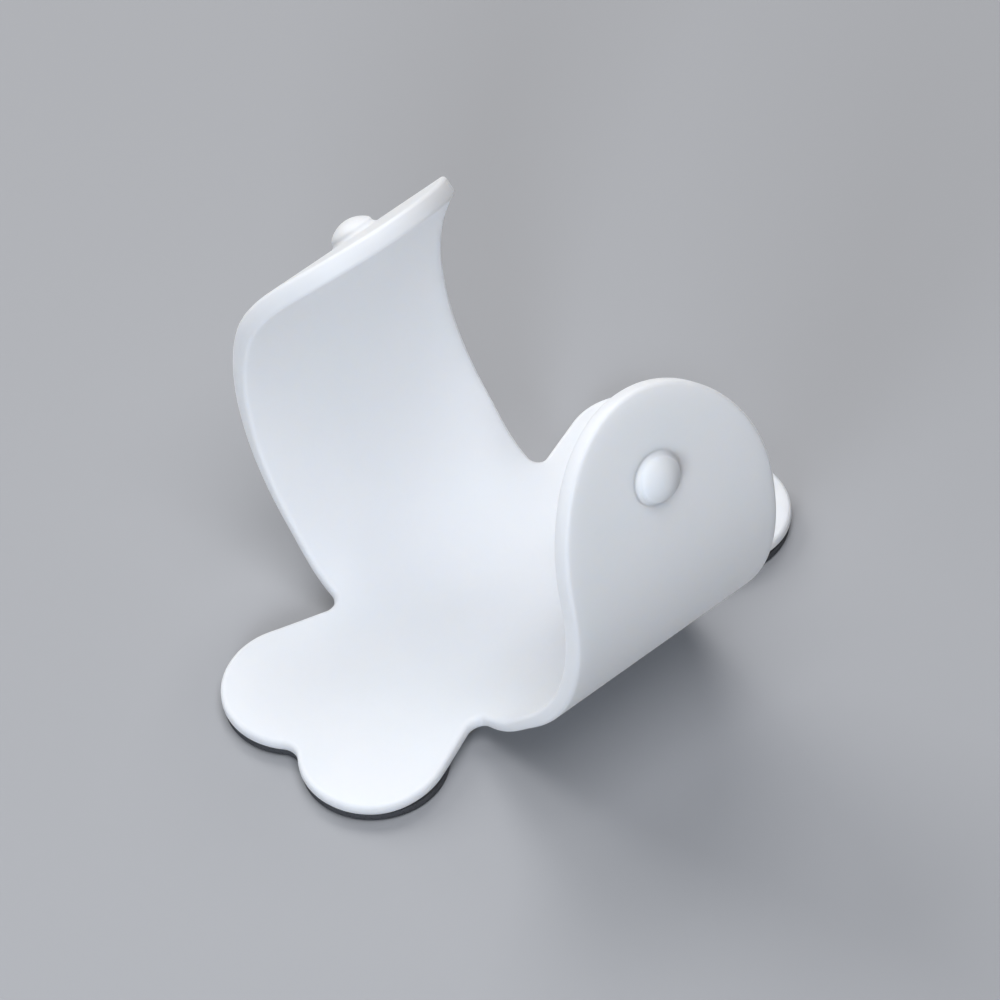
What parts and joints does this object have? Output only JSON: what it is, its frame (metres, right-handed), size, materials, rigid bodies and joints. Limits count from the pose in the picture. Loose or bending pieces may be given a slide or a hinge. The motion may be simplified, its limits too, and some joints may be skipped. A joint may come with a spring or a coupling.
{
  "type": "flexible silicone phone holder",
  "caption": "Soft white silicone sheet on a lobed adhesive base, with round-ended arms that curl up from the sides, each with a small knob, to hold a phone on a hand, bar or stand.",
  "frame": {"origin": "middle of the adhesive pad's sticky underside, under the crossing of the arms and the lobes", "axes": "+X from the curled arm to the more open arm, +Y from one pair of lobes to the other, +Z away from the surface that the holder is stuck to"},
  "size_m": [0.0365, 0.043, 0.0337],
  "materials": {
    "silicone": "cool white moulded silicone, satin",
    "adhesive": "dark grey die-cut adhesive foam, matte"
  },
  "bodies": {
    "root": {"silicone_body": "silicone", "adhesive_pad": "adhesive"}
  },
  "joints": []
}
